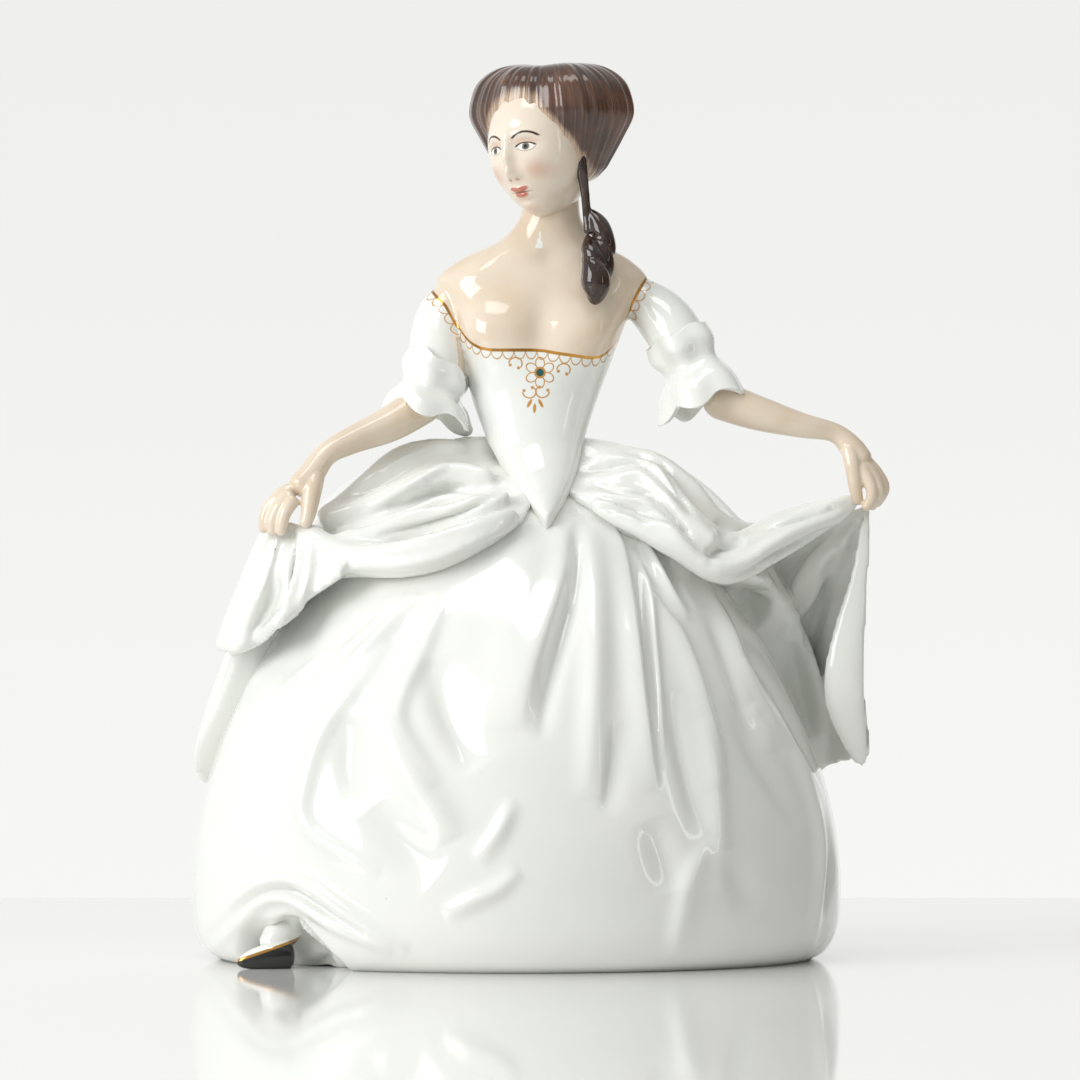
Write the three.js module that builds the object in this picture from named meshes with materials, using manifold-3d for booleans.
// A glazed porcelain figurine of a lady dancer in a wide crinoline, cast and fired as one piece.
// She holds the robe of her gown out to both sides, so that the plain petticoat shows in front,
// and one black shoe shows under the lifted hem.
// Millimetres, +Z up. The origin is the middle of the flat underside, and she faces -Y.
// Angles round the skirt are in degrees from the front, positive towards +X.
import * as THREE from "three";
import { LoftGeometry } from "three/addons/geometries/LoftGeometry.js";
import { mergeVertices } from "three/addons/utils/BufferGeometryUtils.js";
import Module from "manifold-3d";

// Driving sizes of the gown
const SKIRT = {
  halfWidth: 85,
  depthRatio: 0.86,
  widestZ: 20,
  topZ: 131,
  hemTuck: 0.075,
  domePower: 1.7,
  domeRoot: 1.75,
};
// The robe lies on the petticoat in front and stands away from it over the hips and behind.
const ROBE = {
  halfWidth: 88,
  topZ: 137,
  domePower: 1.6,
  domeRoot: 2.8,
  rootSway: 0.2,
  overFront: 4.5,
  frontTo: 28,
  hipFrom: 72,
  bury: 3,
  frontHemZ: 116,
  notchDrop: 16,
  notchAngle: 22,
  backHemZ: 41,
  leftDropFrom: -62,
  leftDropTo: -112,
  rightDropFrom: 84,
  rightDropTo: 110,
  pleats: 15,
  pleatDepth: 2.4,
  hemWave: 4,
};
// The lifted hem over the shoe: two arched rolls of cloth with their middle at this angle, and a
// mouth under them for the shoe
const ARCH = {
  angle: -42, halfAngle: 29, outerTopZ: 24, innerTopZ: 17.5, roll: 3.4,
  mouthAngle: -47, mouthHalfAngle: 13, mouthTopZ: 11, mouthDepth: 11,
};

// Driving sizes of the body
const WAIST_Z = 133;
const NECK = { x: 9.5, y: 1, z: 197, radius: 7.2 };
const HEAD = {
  x: 6.2, y: -3, z: 212,
  halfWidth: 13.2, halfDepth: 15.6, halfHeight: 18.6,
  turn: -36, nod: 4, lean: -9,
};

const { sin, cos, sqrt, exp, abs, min, max, PI, hypot } = Math;
const rad = (degrees) => (degrees * PI) / 180;
const mix = (a, b, t) => a + (b - a) * t;
const clamp01 = (t) => min(1, max(0, t));
const smooth = (from, to, x) => {
  const t = clamp01((x - from) / (to - from));
  return t * t * (3 - 2 * t);
};
const bell = (x) => exp(-x * x);
const turned = (angle, around) => ((((angle - around) % 360) + 540) % 360) - 180;
const point = (x, y, z) => new THREE.Vector3(x, y, z);
const bend = ([a, b, c], t) =>
  a * (1 - t) * (1 - 2 * t) + 4 * b * t * (1 - t) + c * t * (2 * t - 1);
const ring = (count, at) => Array.from({ length: count }, (_, i) => at((i / count) * 360));
const steps = (count) => Array.from({ length: count + 1 }, (_, i) => i / count);
// Angles once round the skirt: fine from one angle to another, and coarser over the rest.
const roundTheSkirt = (from, to, fine, coarse) => [
  ...steps(fine).slice(0, -1).map((t) => mix(from, to, t)),
  ...steps(coarse).slice(0, -1).map((t) => mix(to, from + 360, t)),
];

const wasm = await Module();
wasm.setup();

// One closed solid from corner points and triangles, turned right side out.
function closedSolid(vertProperties, triangles) {
  const build = (triVerts) =>
    new wasm.Manifold(new wasm.Mesh({ numProp: 3, vertProperties, triVerts }));
  const made = build(new Uint32Array(triangles));
  return made.volume() > 0 ? made : build(new Uint32Array([...triangles].reverse()));
}

// A solid lofted through rings of points and closed to a point in the middle of each end ring.
function solid(sections) {
  const pole = (section) => {
    const middle = section.reduce((sum, p) => sum.add(p), point(0, 0, 0));
    return section.map(() => middle.clone().divideScalar(section.length));
  };
  const rows = [pole(sections[0]), ...sections, pole(sections[sections.length - 1])];
  const loft = new LoftGeometry(rows, { closed: true });
  const bare = new THREE.BufferGeometry();
  bare.setAttribute("position", loft.getAttribute("position"));
  bare.setIndex(loft.getIndex());
  const merged = mergeVertices(bare, 1e-3);
  const corners = merged.index.array;
  const kept = [];
  for (let i = 0; i < corners.length; i += 3) {
    const [a, b, c] = corners.subarray(i, i + 3);
    if (a !== b && b !== c && a !== c) kept.push(a, b, c);
  }
  return closedSolid(new Float32Array(merged.attributes.position.array), kept);
}

// A solid sheet: at(u, v, side) is a point of its front, side 0, or of its back, side 1.
function sheet(columns, rows, at) {
  const corners = [0, 1].flatMap((side) =>
    steps(rows).flatMap((v) => steps(columns).flatMap((u) => at(u, v, side).toArray())));
  const index = (side, i, j) => (side * (rows + 1) + j) * (columns + 1) + i;
  const faces = [];
  const quad = (a, b, c, d) => faces.push(a, b, c, a, c, d);
  for (let j = 0; j < rows; j++) {
    for (let i = 0; i < columns; i++) {
      quad(index(0, i, j), index(0, i + 1, j), index(0, i + 1, j + 1), index(0, i, j + 1));
      quad(index(1, i, j), index(1, i, j + 1), index(1, i + 1, j + 1), index(1, i + 1, j));
    }
    quad(index(0, 0, j), index(0, 0, j + 1), index(1, 0, j + 1), index(1, 0, j));
    quad(index(0, columns, j), index(1, columns, j), index(1, columns, j + 1),
         index(0, columns, j + 1));
  }
  for (let i = 0; i < columns; i++) {
    quad(index(0, i, 0), index(1, i, 0), index(1, i + 1, 0), index(0, i + 1, 0));
    quad(index(0, i, rows), index(0, i + 1, rows), index(1, i + 1, rows), index(1, i, rows));
  }
  return closedSolid(new Float32Array(corners), faces);
}

// Folds of the petticoat. Each is a ridge whose angle bends from its top to its foot, and which
// grows from nothing, stands highest a quarter of the way down and fades again.
const PETTICOAT_FOLDS = [
  { angles: [27, 31, 26], top: 119, foot: 50, width: 3.2, height: 2.8 },
  { angles: [48, 40, 38], top: 110, foot: 42, width: 3.6, height: 2.6 },
  { angles: [50, 46, 56], top: 108, foot: 44, width: 4.0, height: 2.6 },
  { angles: [60, 64, 67], top: 104, foot: -10, width: 4.5, height: 2.4 },
  { angles: [20, 14, 9], top: 118, foot: 44, width: 4.0, height: 2.0 },
  { angles: [8, 4, -1], top: 114, foot: 54, width: 3.6, height: -1.8 },
  { angles: [0, -5, -12], top: 114, foot: 40, width: 5.0, height: 2.0 },
  { angles: [-7, -19, -36], top: 110, foot: 56, width: 5.0, height: 2.6 },
  { angles: [-32, -46, -58], top: 98, foot: 30, width: 5.0, height: 2.0 },
  { angles: [-27, -19, -9], top: 74, foot: 32, width: 5.5, height: 3.2 },
  { angles: [-39, -42, -31], top: 74, foot: 26, width: 4.5, height: 2.4 },
  { angles: [90, 86, 84], top: 100, foot: 8, width: 7.0, height: 2.4 },
];
// Soft dents and swells low on the petticoat, longer one way than the other, and tilted.
const PETTICOAT_SWELLS = [
  { angle: -33, z: 46, along: 15, across: 7, tilt: -25, height: -2.0 },
  { angle: -11, z: 58, along: 14, across: 7, tilt: -20, height: -2.0 },
  { angle: -2, z: 36, along: 10, across: 5, tilt: 25, height: 1.8 },
  { angle: -5, z: 20, along: 15, across: 5, tilt: 62, height: 1.6 },
  { angle: 31, z: 17, along: 13, across: 5, tilt: 12, height: 1.6 },
  { angle: 18, z: 26, along: 16, across: 8, tilt: 5, height: -1.4 },
];

// The share of its widest that the skirt's dome has at height z.
function domeShare(z) {
  if (z < SKIRT.widestZ) return 1 - SKIRT.hemTuck * ((SKIRT.widestZ - z) / SKIRT.widestZ) ** 4;
  const t = min(1, (z - SKIRT.widestZ) / (SKIRT.topZ - SKIRT.widestZ));
  return (1 - t ** SKIRT.domePower) ** (1 / SKIRT.domeRoot);
}

function foldHeight(angle, z) {
  return PETTICOAT_FOLDS.reduce((sum, f) => {
    const s = clamp01((f.top - z) / (f.top - f.foot));
    const off = turned(angle, bend(f.angles, s)) / (f.width * (0.75 + 0.6 * s));
    return sum + f.height * sin(PI * sqrt(s)) * bell(off);
  }, 0);
}

function swellHeight(angle, z) {
  return PETTICOAT_SWELLS.reduce((sum, s) => {
    const x = rad(turned(angle, s.angle)) * SKIRT.halfWidth;
    const y = z - s.z;
    const t = rad(s.tilt);
    const along = (y * cos(t) + x * sin(t)) / s.along;
    const across = (x * cos(t) - y * sin(t)) / s.across;
    return sum + s.height * bell(hypot(along, across));
  }, 0);
}

// How far the hem is drawn in over the shoe.
function mouthDepth(angle, z) {
  const share = turned(angle, ARCH.mouthAngle) / ARCH.mouthHalfAngle;
  return ARCH.mouthDepth * smooth(ARCH.mouthTopZ, 3, z) * smooth(1.15, 0.6, abs(share));
}

// A point of the skirt's surface at an angle and a height, lifted by so much off it.
function onSkirt(angle, z, lift = 0) {
  const r =
    SKIRT.halfWidth * domeShare(z) + foldHeight(angle, z) + swellHeight(angle, z) -
    mouthDepth(angle, z) + lift;
  return point(r * sin(rad(angle)), -r * SKIRT.depthRatio * cos(rad(angle)), z);
}

function petticoat() {
  const heights = [0, 2, 5.5, 10, 16, 25, 36, 48, 60, 72, 84, 95, 106, 117, 128];
  const around = roundTheSkirt(-78, 96, 40, 9);
  return solid(heights.map((z) => around.map((angle) => onSkirt(angle, z))));
}

// The robe's lower edge: a shallow V in front, then a drop at each side to the low back hem.
function robeHem(angle) {
  const a = turned(angle, 0);
  const front = ROBE.frontHemZ - ROBE.notchDrop * (1 - bell((a - 2) / ROBE.notchAngle));
  const drop = a < 0
    ? smooth(ROBE.leftDropFrom, ROBE.leftDropTo, a)
    : smooth(ROBE.rightDropFrom, ROBE.rightDropTo, a);
  return mix(front, ROBE.backHemZ + ROBE.hemWave * cos(rad(6 * a)), drop);
}

// How far from the skirt's axis the robe is.
function robeRadius(angle, z) {
  const a = abs(turned(angle, 0));
  const t = clamp01((z - SKIRT.widestZ) / (ROBE.topZ - SKIRT.widestZ));
  const root = ROBE.domeRoot + ROBE.rootSway * sin(rad(angle));
  const hip = ROBE.halfWidth * (1 - t ** ROBE.domePower) ** (1 / root);
  const front = SKIRT.halfWidth * domeShare(z) + ROBE.overFront;
  const down = clamp01((ROBE.topZ - z) / (ROBE.topZ - robeHem(angle)));
  const pleat = ROBE.pleatDepth * cos(rad(ROBE.pleats * a)) * smooth(70, 100, a) * sqrt(down);
  return mix(front, hip, smooth(ROBE.frontTo, ROBE.hipFrom, a)) + pleat;
}

function onRobe(angle, z, lift = 0) {
  const r = robeRadius(angle, z) + lift;
  return point(r * sin(rad(angle)), -r * SKIRT.depthRatio * cos(rad(angle)), z);
}

function robe() {
  const around = roundTheSkirt(66, 294, 34, 10);
  const core = around.map((a) => point(4 * sin(rad(a)), -4 * cos(rad(a)), 20));
  const under = around.map((angle) => onSkirt(angle, robeHem(angle), -ROBE.bury));
  const lip = around.map((angle) => {
    const inside = onSkirt(angle, robeHem(angle) - 1.5, 0);
    return inside.lerp(onRobe(angle, robeHem(angle) - 1.5), 0.8);
  });
  const outer = steps(8).map((t) => around.map((angle) =>
    onRobe(angle, mix(robeHem(angle), ROBE.topZ - 0.4, t ** 0.8))));
  return solid([core, under, lip, ...outer]);
}

// A rod of oval section carried along a smooth curve through the points, with round ends.
// radii are at its start, middle and end. flat squeezes it along the direction out.
function limb({ through, radii, flat = 1, out = [0, 1, 0], around = 8, along = 9 }) {
  const path = new THREE.CatmullRomCurve3(through, false, "catmullrom", 0.5);
  const outward = point(...out).normalize();
  const sections = steps(along).map((v) => {
    const t = (1 - cos(PI * v)) / 2 * 0.4 + v * 0.6;
    const centre = path.getPoint(t);
    const forward = path.getTangent(clamp01(t));
    const side = forward.clone().cross(outward).normalize();
    const up = side.clone().cross(forward).normalize();
    const r = bend(radii, t);
    const end = min(t, 1 - t) / 0.08;
    const round = end < 1 ? sqrt(max(0.02, 1 - (1 - end) ** 2)) : 1;
    return ring(around, (angle) => centre.clone()
      .addScaledVector(side, r * round * cos(rad(angle)))
      .addScaledVector(up, r * round * flat * sin(rad(angle))));
  });
  return solid(sections);
}

// Rolls of cloth that run from the waist over the robe and up to her hands. Each goes through its
// points, and is as thick as its radii say at its start, middle and end.
const SWAGS_TO_LEFT_HAND = [
  { through: [[19, -27, 119], [32, -30, 113], [42, -31, 107.5], [54, -29, 101.5], [67, -22, 107],
              [80, -14, 114], [89, -8, 119]], radii: [3, 4, 2] },
  { through: [[25, -22, 123], [41, -25, 117], [49, -28, 109.5], [56, -26, 106], [69, -19, 112],
              [84, -11, 118.5], [90, -8, 120]], radii: [2.6, 3.6, 2] },
  { through: [[20, -12, 131], [35, -17, 127], [42, -23, 118.5], [49, -25, 111.5], [57, -22, 109],
              [69, -14, 115], [88, -8, 120.5]], radii: [2.6, 3.4, 2] },
  { through: [[22, -8, 132], [35, -10, 130], [45, -14, 123], [52, -15, 115], [61, -11, 111.5],
              [72, -7, 114.5], [87, -7, 120]], radii: [3, 3, 2] },
];
const SWAGS_TO_RIGHT_HAND = [
  { through: [[1, -36, 116.5], [-10, -41, 110.5], [-21, -42, 106], [-32, -39, 104], [-43, -35, 105],
              [-51, -30, 109], [-54, -28, 113]], radii: [3, 4.6, 3.4] },
  { through: [[-1, -31, 121], [-12, -33, 117], [-24, -33, 114], [-36, -33, 110.5], [-47, -31, 109]],
    radii: [2.6, 3.4, 3] },
  { through: [[-5, -23, 125.5], [-17, -20, 127], [-30, -22, 122], [-42, -22, 116.5], [-51, -24, 114]],
    radii: [2.6, 3.4, 2.6] },
  { through: [[-12, -8, 133], [-23, -8, 133], [-31, -10, 130.5], [-38, -15, 124.5], [-45, -18, 118.5],
              [-51, -23, 115]], radii: [3, 3.2, 2.6] },
];

function swags() {
  return [...SWAGS_TO_LEFT_HAND, ...SWAGS_TO_RIGHT_HAND].map(({ through, radii }) =>
    limb({ through: through.map((p) => point(...p)), radii, around: 7, along: 9 }));
}

// The cloth that hangs from her right hand, fluted, from the pinch to its slanting lower edge.
function leftFan() {
  const lowerEdge = new THREE.CatmullRomCurve3([
    point(-79, -14, 81), point(-72, -24, 80), point(-64, -33, 83.5), point(-57, -39, 91),
    point(-44, -38, 100),
  ]);
  const upperEdge = new THREE.CatmullRomCurve3([
    point(-66, -24, 112), point(-60, -27, 114), point(-55, -29, 113), point(-44, -34, 107),
  ]);
  return sheet(10, 5, (u, v, side) => {
    const p = upperEdge.getPoint(u).lerp(lowerEdge.getPoint(u), v);
    const flute = 3 * sqrt(v) * cos(2 * PI * 2.5 * u + PI);
    p.y += side === 1 ? 6 + 8 * v : -2 * sin(PI * v) - flute;
    return p;
  });
}

// The cloth that her left hand draws out: a sail from the hip to the hand, hollow towards the
// front, with folds that spread from the hand and a rolled outer edge.
function rightSail() {
  return sheet(10, 9, (u, v, side) => {
    const xIn = mix(44, 60, sqrt(v));
    const xOut = 91 + 1.5 * cos(2 * PI * v);
    const topZ = mix(121, 119, u) - 7 * sin(PI * u);
    const lowZ = mix(42, 53, u);
    const fromHand = hypot((1 - u) * 40, v * 66);
    const spread = Math.atan2(v * 66, (1 - u) * 40) / (PI / 2);
    const folds = 3.2 * smooth(0, 22, fromHand) * cos(2 * PI * (2.1 * spread - 0.12));
    const yIn = mix(6, 34, v);
    const yOut = mix(-7, -4, v);
    const belly = 7 * sin(PI * u) * smooth(0, 0.5, v);
    const y = mix(yIn, yOut, u ** 1.3) + belly - folds;
    return point(mix(xIn, xOut, u), side === 1 ? y + 4.5 : y, mix(topZ, lowZ, v));
  });
}

// The rolled outer edge of that cloth: thin at the hand, wide and full low down.
function sailEdge() {
  return limb({
    through: [point(92, -8, 116), point(89.5, -9, 95), point(87.5, -10, 72), point(90, -6, 54)],
    radii: [1.6, 4.6, 2.2], flat: 0.7, out: [0, 1, 0], around: 8, along: 9,
  });
}

// Half width, half depth and centre of the body at height z, from the waist up to the neck.
function bodySection(z) {
  const up = clamp01((z - 112) / (175 - 112));
  const waist = mix(5, 13.2, smooth(112, 134, z));
  const chest = mix(waist, 22.5, smooth(132, 170, z));
  const shoulder = 8.5 * smooth(166, 180, z);
  const slope = smooth(179, 192, z);
  const halfWidth = mix(chest + shoulder, NECK.radius, slope ** 0.62);
  const depth = mix(mix(10.5, 14.5, smooth(134, 165, z)), NECK.radius, smooth(172, 194, z));
  return {
    halfWidth,
    halfDepth: z < 134 ? mix(8, 10.5, smooth(114, 134, z)) : depth,
    x: mix(mix(6.5, 5.0, smooth(134, 165, z)), NECK.x, smooth(165, 195, z)),
    y: mix(-24, 0, smooth(108, 146, z)) + mix(0, NECK.y, up),
  };
}

function bust(angle, z) {
  const swell = (x, height) => height * bell(turned(angle, x) / 30) * bell((z - 164) / 9);
  return swell(-34, 3.2) + swell(38, 3.2);
}

function onBody(angle, z, lift = 0) {
  const s = bodySection(z);
  const out = bust(angle, z) + lift;
  return point(
    s.x + (s.halfWidth + out) * sin(rad(angle)),
    s.y - (s.halfDepth + out) * cos(rad(angle)),
    z,
  );
}

function body() {
  const heights = [
    112, 114, 120, 127, 134, 143, 151, 158, 164, 170, 175, 179, 182, 185, 188.5, 193, 200, 206,
  ];
  return solid(heights.map((z) => ring(18, (angle) => onBody(angle, z))));
}

// Sleeves to the elbow. Each ends in a gathered cuff: a rim that stands out round the sleeve, a
// pinch, and a wider waved flounce below it.
const ARMS = {
  right: {
    sleeve: [point(-18, 2, 178), point(-21, 0, 168), point(-21, -4, 158), point(-20.5, -7, 151)],
    sleeveRadii: [6.2, 7.4, 7.6],
    cuff: [
      { at: point(-19.5, -6, 156), along: [-0.5, -0.1, -0.8], r: 8.4, wave: 0.6 },
      { at: point(-20.5, -7, 152.5), along: [-0.4, -0.1, -0.9], r: 9, wave: 0.8 },
      { at: point(-21.5, -8, 148.5), along: [-0.35, -0.1, -0.9], r: 8, wave: 0.4 },
      { at: point(-22, -9, 145), along: [-0.3, -0.1, -0.95], r: 10.4, wave: 0.9 },
      { at: point(-22.3, -9.5, 141.2), along: [-0.27, -0.1, -0.95], r: 11.6, wave: 1.3 },
    ],
    forearm: [point(-22, -9, 146), point(-34, -15, 138.5), point(-45, -21, 134), point(-51.5, -25, 129)],
    forearmRadii: [5, 4, 2.9],
  },
  left: {
    sleeve: [point(33, 2, 178), point(38, 0, 170), point(41, -3, 165), point(44.5, -5, 158)],
    sleeveRadii: [6.4, 7.6, 7.2],
    cuff: [
      { at: point(42.3, -4, 163), along: [0.42, -0.1, -0.9], r: 8.6, wave: 0.6 },
      { at: point(44, -5, 159.5), along: [0.42, -0.1, -0.9], r: 8.8, wave: 0.8 },
      { at: point(46, -6, 155), along: [0.4, -0.1, -0.9], r: 7.4, wave: 0.4 },
      { at: point(47.6, -7, 150), along: [0.35, -0.1, -0.94], r: 10.2, wave: 0.9 },
      { at: point(49.2, -8, 144.5), along: [0.35, -0.1, -0.94], r: 11.6, wave: 1.3 },
    ],
    forearm: [point(50, -8, 147), point(62, -10, 142.5), point(74, -10, 139), point(86, -8, 136.8)],
    forearmRadii: [5.2, 4.5, 2.5],
  },
};

function cuff(rings, waves) {
  const circle = ({ at, along, r, wave }, shrink) => {
    const down = point(...along).normalize();
    const side = point(0, 1, 0).cross(down).normalize();
    const front = side.clone().cross(down).normalize();
    return ring(16, (angle) => {
      const out = r * shrink + wave * cos(rad(waves * angle));
      return at.clone()
        .addScaledVector(down, wave * sin(rad(waves * angle + 40)))
        .addScaledVector(side, out * cos(rad(angle)))
        .addScaledVector(front, out * sin(rad(angle)));
    });
  };
  const [rim] = rings;
  const lip = rings[rings.length - 1];
  const hollow = rings[rings.length - 2];
  return solid([
    circle({ ...rim, at: rim.at.clone().add(point(0, 0, 0.6)) }, 0.75),
    ...rings.map((r) => circle(r, 1)),
    circle(lip, 0.86),
    circle(hollow, 0.55),
  ]);
}

function arm({ sleeve, sleeveRadii, cuff: rings, forearm, forearmRadii }) {
  return [
    limb({ through: sleeve, radii: sleeveRadii, around: 11, along: 6 }),
    limb({ through: forearm, radii: forearmRadii, around: 8, along: 7 }),
    cuff(rings, 5),
  ];
}

// Hands: a palm, four fingers curled over the cloth and a thumb.
function hands() {
  const right = [
    { through: [point(-51.5, -25, 129), point(-54, -26, 124), point(-58, -27, 120)], radii: [2.7, 4, 3.4] },
    { through: [point(-54, -28, 124), point(-54.5, -30, 118), point(-55, -30, 113)], radii: [2, 2, 1.4] },
    { through: [point(-58, -27, 121), point(-62, -28, 118), point(-64, -28, 112)], radii: [1.8, 1.7, 1.2] },
    { through: [point(-58, -29, 121), point(-61, -30, 117), point(-61.5, -30, 112)], radii: [1.8, 1.7, 1.2] },
  ];
  const left = [
    { through: [point(86, -8, 137.5), point(89, -9, 133), point(92, -9, 128)], radii: [2.4, 3.4, 3] },
    { through: [point(87, -10, 134), point(88, -11, 127), point(89, -10, 119)], radii: [2, 2, 1.4] },
    { through: [point(91, -8, 132), point(95.5, -8, 125), point(92.5, -8, 118)], radii: [2, 2, 1.3] },
    { through: [point(91, -10, 131), point(94, -11, 124), point(91.5, -10, 118)], radii: [1.8, 1.7, 1.2] },
  ];
  return [...right, ...left].map((f) => limb({ ...f, around: 6, along: 5 }));
}

// The two arched rolls of the lifted hem.
function hemRolls() {
  const roll = (topZ, lift) => limb({
    through: steps(8).map((t) => {
      const share = 2 * t - 1;
      return onSkirt(ARCH.angle + ARCH.halfAngle * share, 1 + topZ * (1 - share * share), lift);
    }),
    radii: [1.6, ARCH.roll, 1.6], around: 8, along: 10,
  });
  return [roll(ARCH.outerTopZ, -0.8), roll(ARCH.innerTopZ, 0.2)];
}

// Turns a point from the head's own frame, where the face looks along -Y, into the figure's.
function placeOnHead(p) {
  const turn = new THREE.Euler(rad(HEAD.nod), rad(HEAD.lean), rad(HEAD.turn), "ZYX");
  return p.applyEuler(turn).add(point(HEAD.x, HEAD.y, HEAD.z));
}

// The head: an egg, narrowed to the chin, with brow, sockets, nose, lips and chin as soft swells.
function faceRelief(x, z) {
  const swell = (cx, cz, wx, wz, height) => height * bell(hypot((x - cx) / wx, (z - cz) / wz));
  return (
    swell(0, -3.4, 1.6, 3.0, 1.8) + swell(0, -6.2, 1.9, 1.5, 2.2) +
    swell(0, -10.4, 3.4, 1.3, 0.9) + swell(0, -15, 3.4, 2.4, 1.2) +
    swell(-5, 0, 2.8, 1.8, -1.0) + swell(5, 0, 2.8, 1.8, -1.0) +
    swell(0, 3.6, 7, 1.8, 0.4)
  );
}

function head() {
  const rows = steps(12).slice(1, -1).map((t) => -cos(PI * t));
  return solid(rows.map((h) => ring(18, (angle) => {
    const level = sqrt(1 - h * h);
    const jaw = h < 0 ? 1 - 0.3 * h * h : 1;
    const x = HEAD.halfWidth * level * jaw * sin(rad(angle));
    const y = -HEAD.halfDepth * level * (h < 0 ? 1 - 0.12 * h * h : 1) * cos(rad(angle));
    const z = HEAD.halfHeight * h;
    const facing = smooth(0.2, 0.8, cos(rad(angle)));
    return placeOnHead(point(x, y - facing * faceRelief(x, z), z));
  })));
}

// The hair: swept up off the brow into a broad roll that is flat on top, and full behind.
function hair() {
  const rows = steps(10).slice(1, -1).map((t) => -cos(PI * t));
  const middle = { x: 8.8, y: 4, z: 219.5 };
  return solid(rows.map((h) => ring(18, (angle) => {
    const level = (1 - abs(h) ** 2.6) ** (1 / 2.2);
    const wide = 21 * (1 + 0.06 * h) * level;
    const deep = 18 * level;
    const top = 15.5 * h * (h > 0 ? 1 : 0.98 + 0.1 * sin(rad(angle)));
    return point(
      middle.x + wide * sin(rad(angle)),
      middle.y - deep * cos(rad(angle)),
      middle.z + top,
    );
  })));
}

function ringlets() {
  return [
    limb({ through: [point(17, -3, 212), point(18.5, -6, 200), point(19.5, -9, 190)],
           radii: [2.6, 2.2, 2.2], around: 7, along: 7 }),
    limb({ through: [point(20.5, -8, 194), point(21.5, -11, 187), point(21, -13, 181)],
           radii: [3.4, 3.8, 3], around: 7, along: 6 }),
    limb({ through: [point(20, -13, 183), point(20.5, -15, 177), point(20.5, -16, 170.5)],
           radii: [3.2, 3.8, 3.2], around: 7, along: 6 }),
  ];
}

// The shoe's pointed toe and the stockinged instep above it.
function shoe() {
  return [
    limb({ through: [point(-48, -34, 6), point(-58, -42, 4.5), point(-64, -46, 3.2), point(-71, -51, 1.8)],
           radii: [6, 4.6, 1.6], flat: 0.75, out: [0, 0, 1], around: 10, along: 8 }),
    limb({ through: [point(-44, -32, 14), point(-52, -40, 10), point(-59, -44, 6)],
           radii: [6, 5.5, 3.6], around: 10, along: 6 }),
  ];
}

const whole = [
  petticoat(),
  robe(),
  ...swags(),
  leftFan(),
  rightSail(),
  sailEdge(),
  body(),
  ...arm(ARMS.right),
  ...arm(ARMS.left),
  ...hands(),
  head(),
  hair(),
  ...ringlets(),
  ...hemRolls(),
  ...shoe(),
].reduce((all, form) => all.add(form));

// Everything below the surface that she stands on is cut away flat.
const floor = solid([
  [point(-150, -150, -30), point(150, -150, -30), point(150, 150, -30), point(-150, 150, -30)],
  [point(-150, -150, 0), point(150, -150, 0), point(150, 150, 0), point(-150, 150, 0)],
]);
const { vertProperties, triVerts } = whole.subtract(floor).getMesh();
const geometry = new THREE.BufferGeometry();
geometry.setAttribute("position", new THREE.BufferAttribute(vertProperties, 3));
geometry.setIndex(new THREE.BufferAttribute(triVerts, 1));
geometry.computeVertexNormals();

const porcelain = new THREE.MeshStandardMaterial({ color: 0xeef0ee, roughness: 0.12, metalness: 0 });
const figurine = new THREE.Mesh(geometry, porcelain);
figurine.name = "figurine";

const group = new THREE.Group();
group.add(figurine);
export default group;
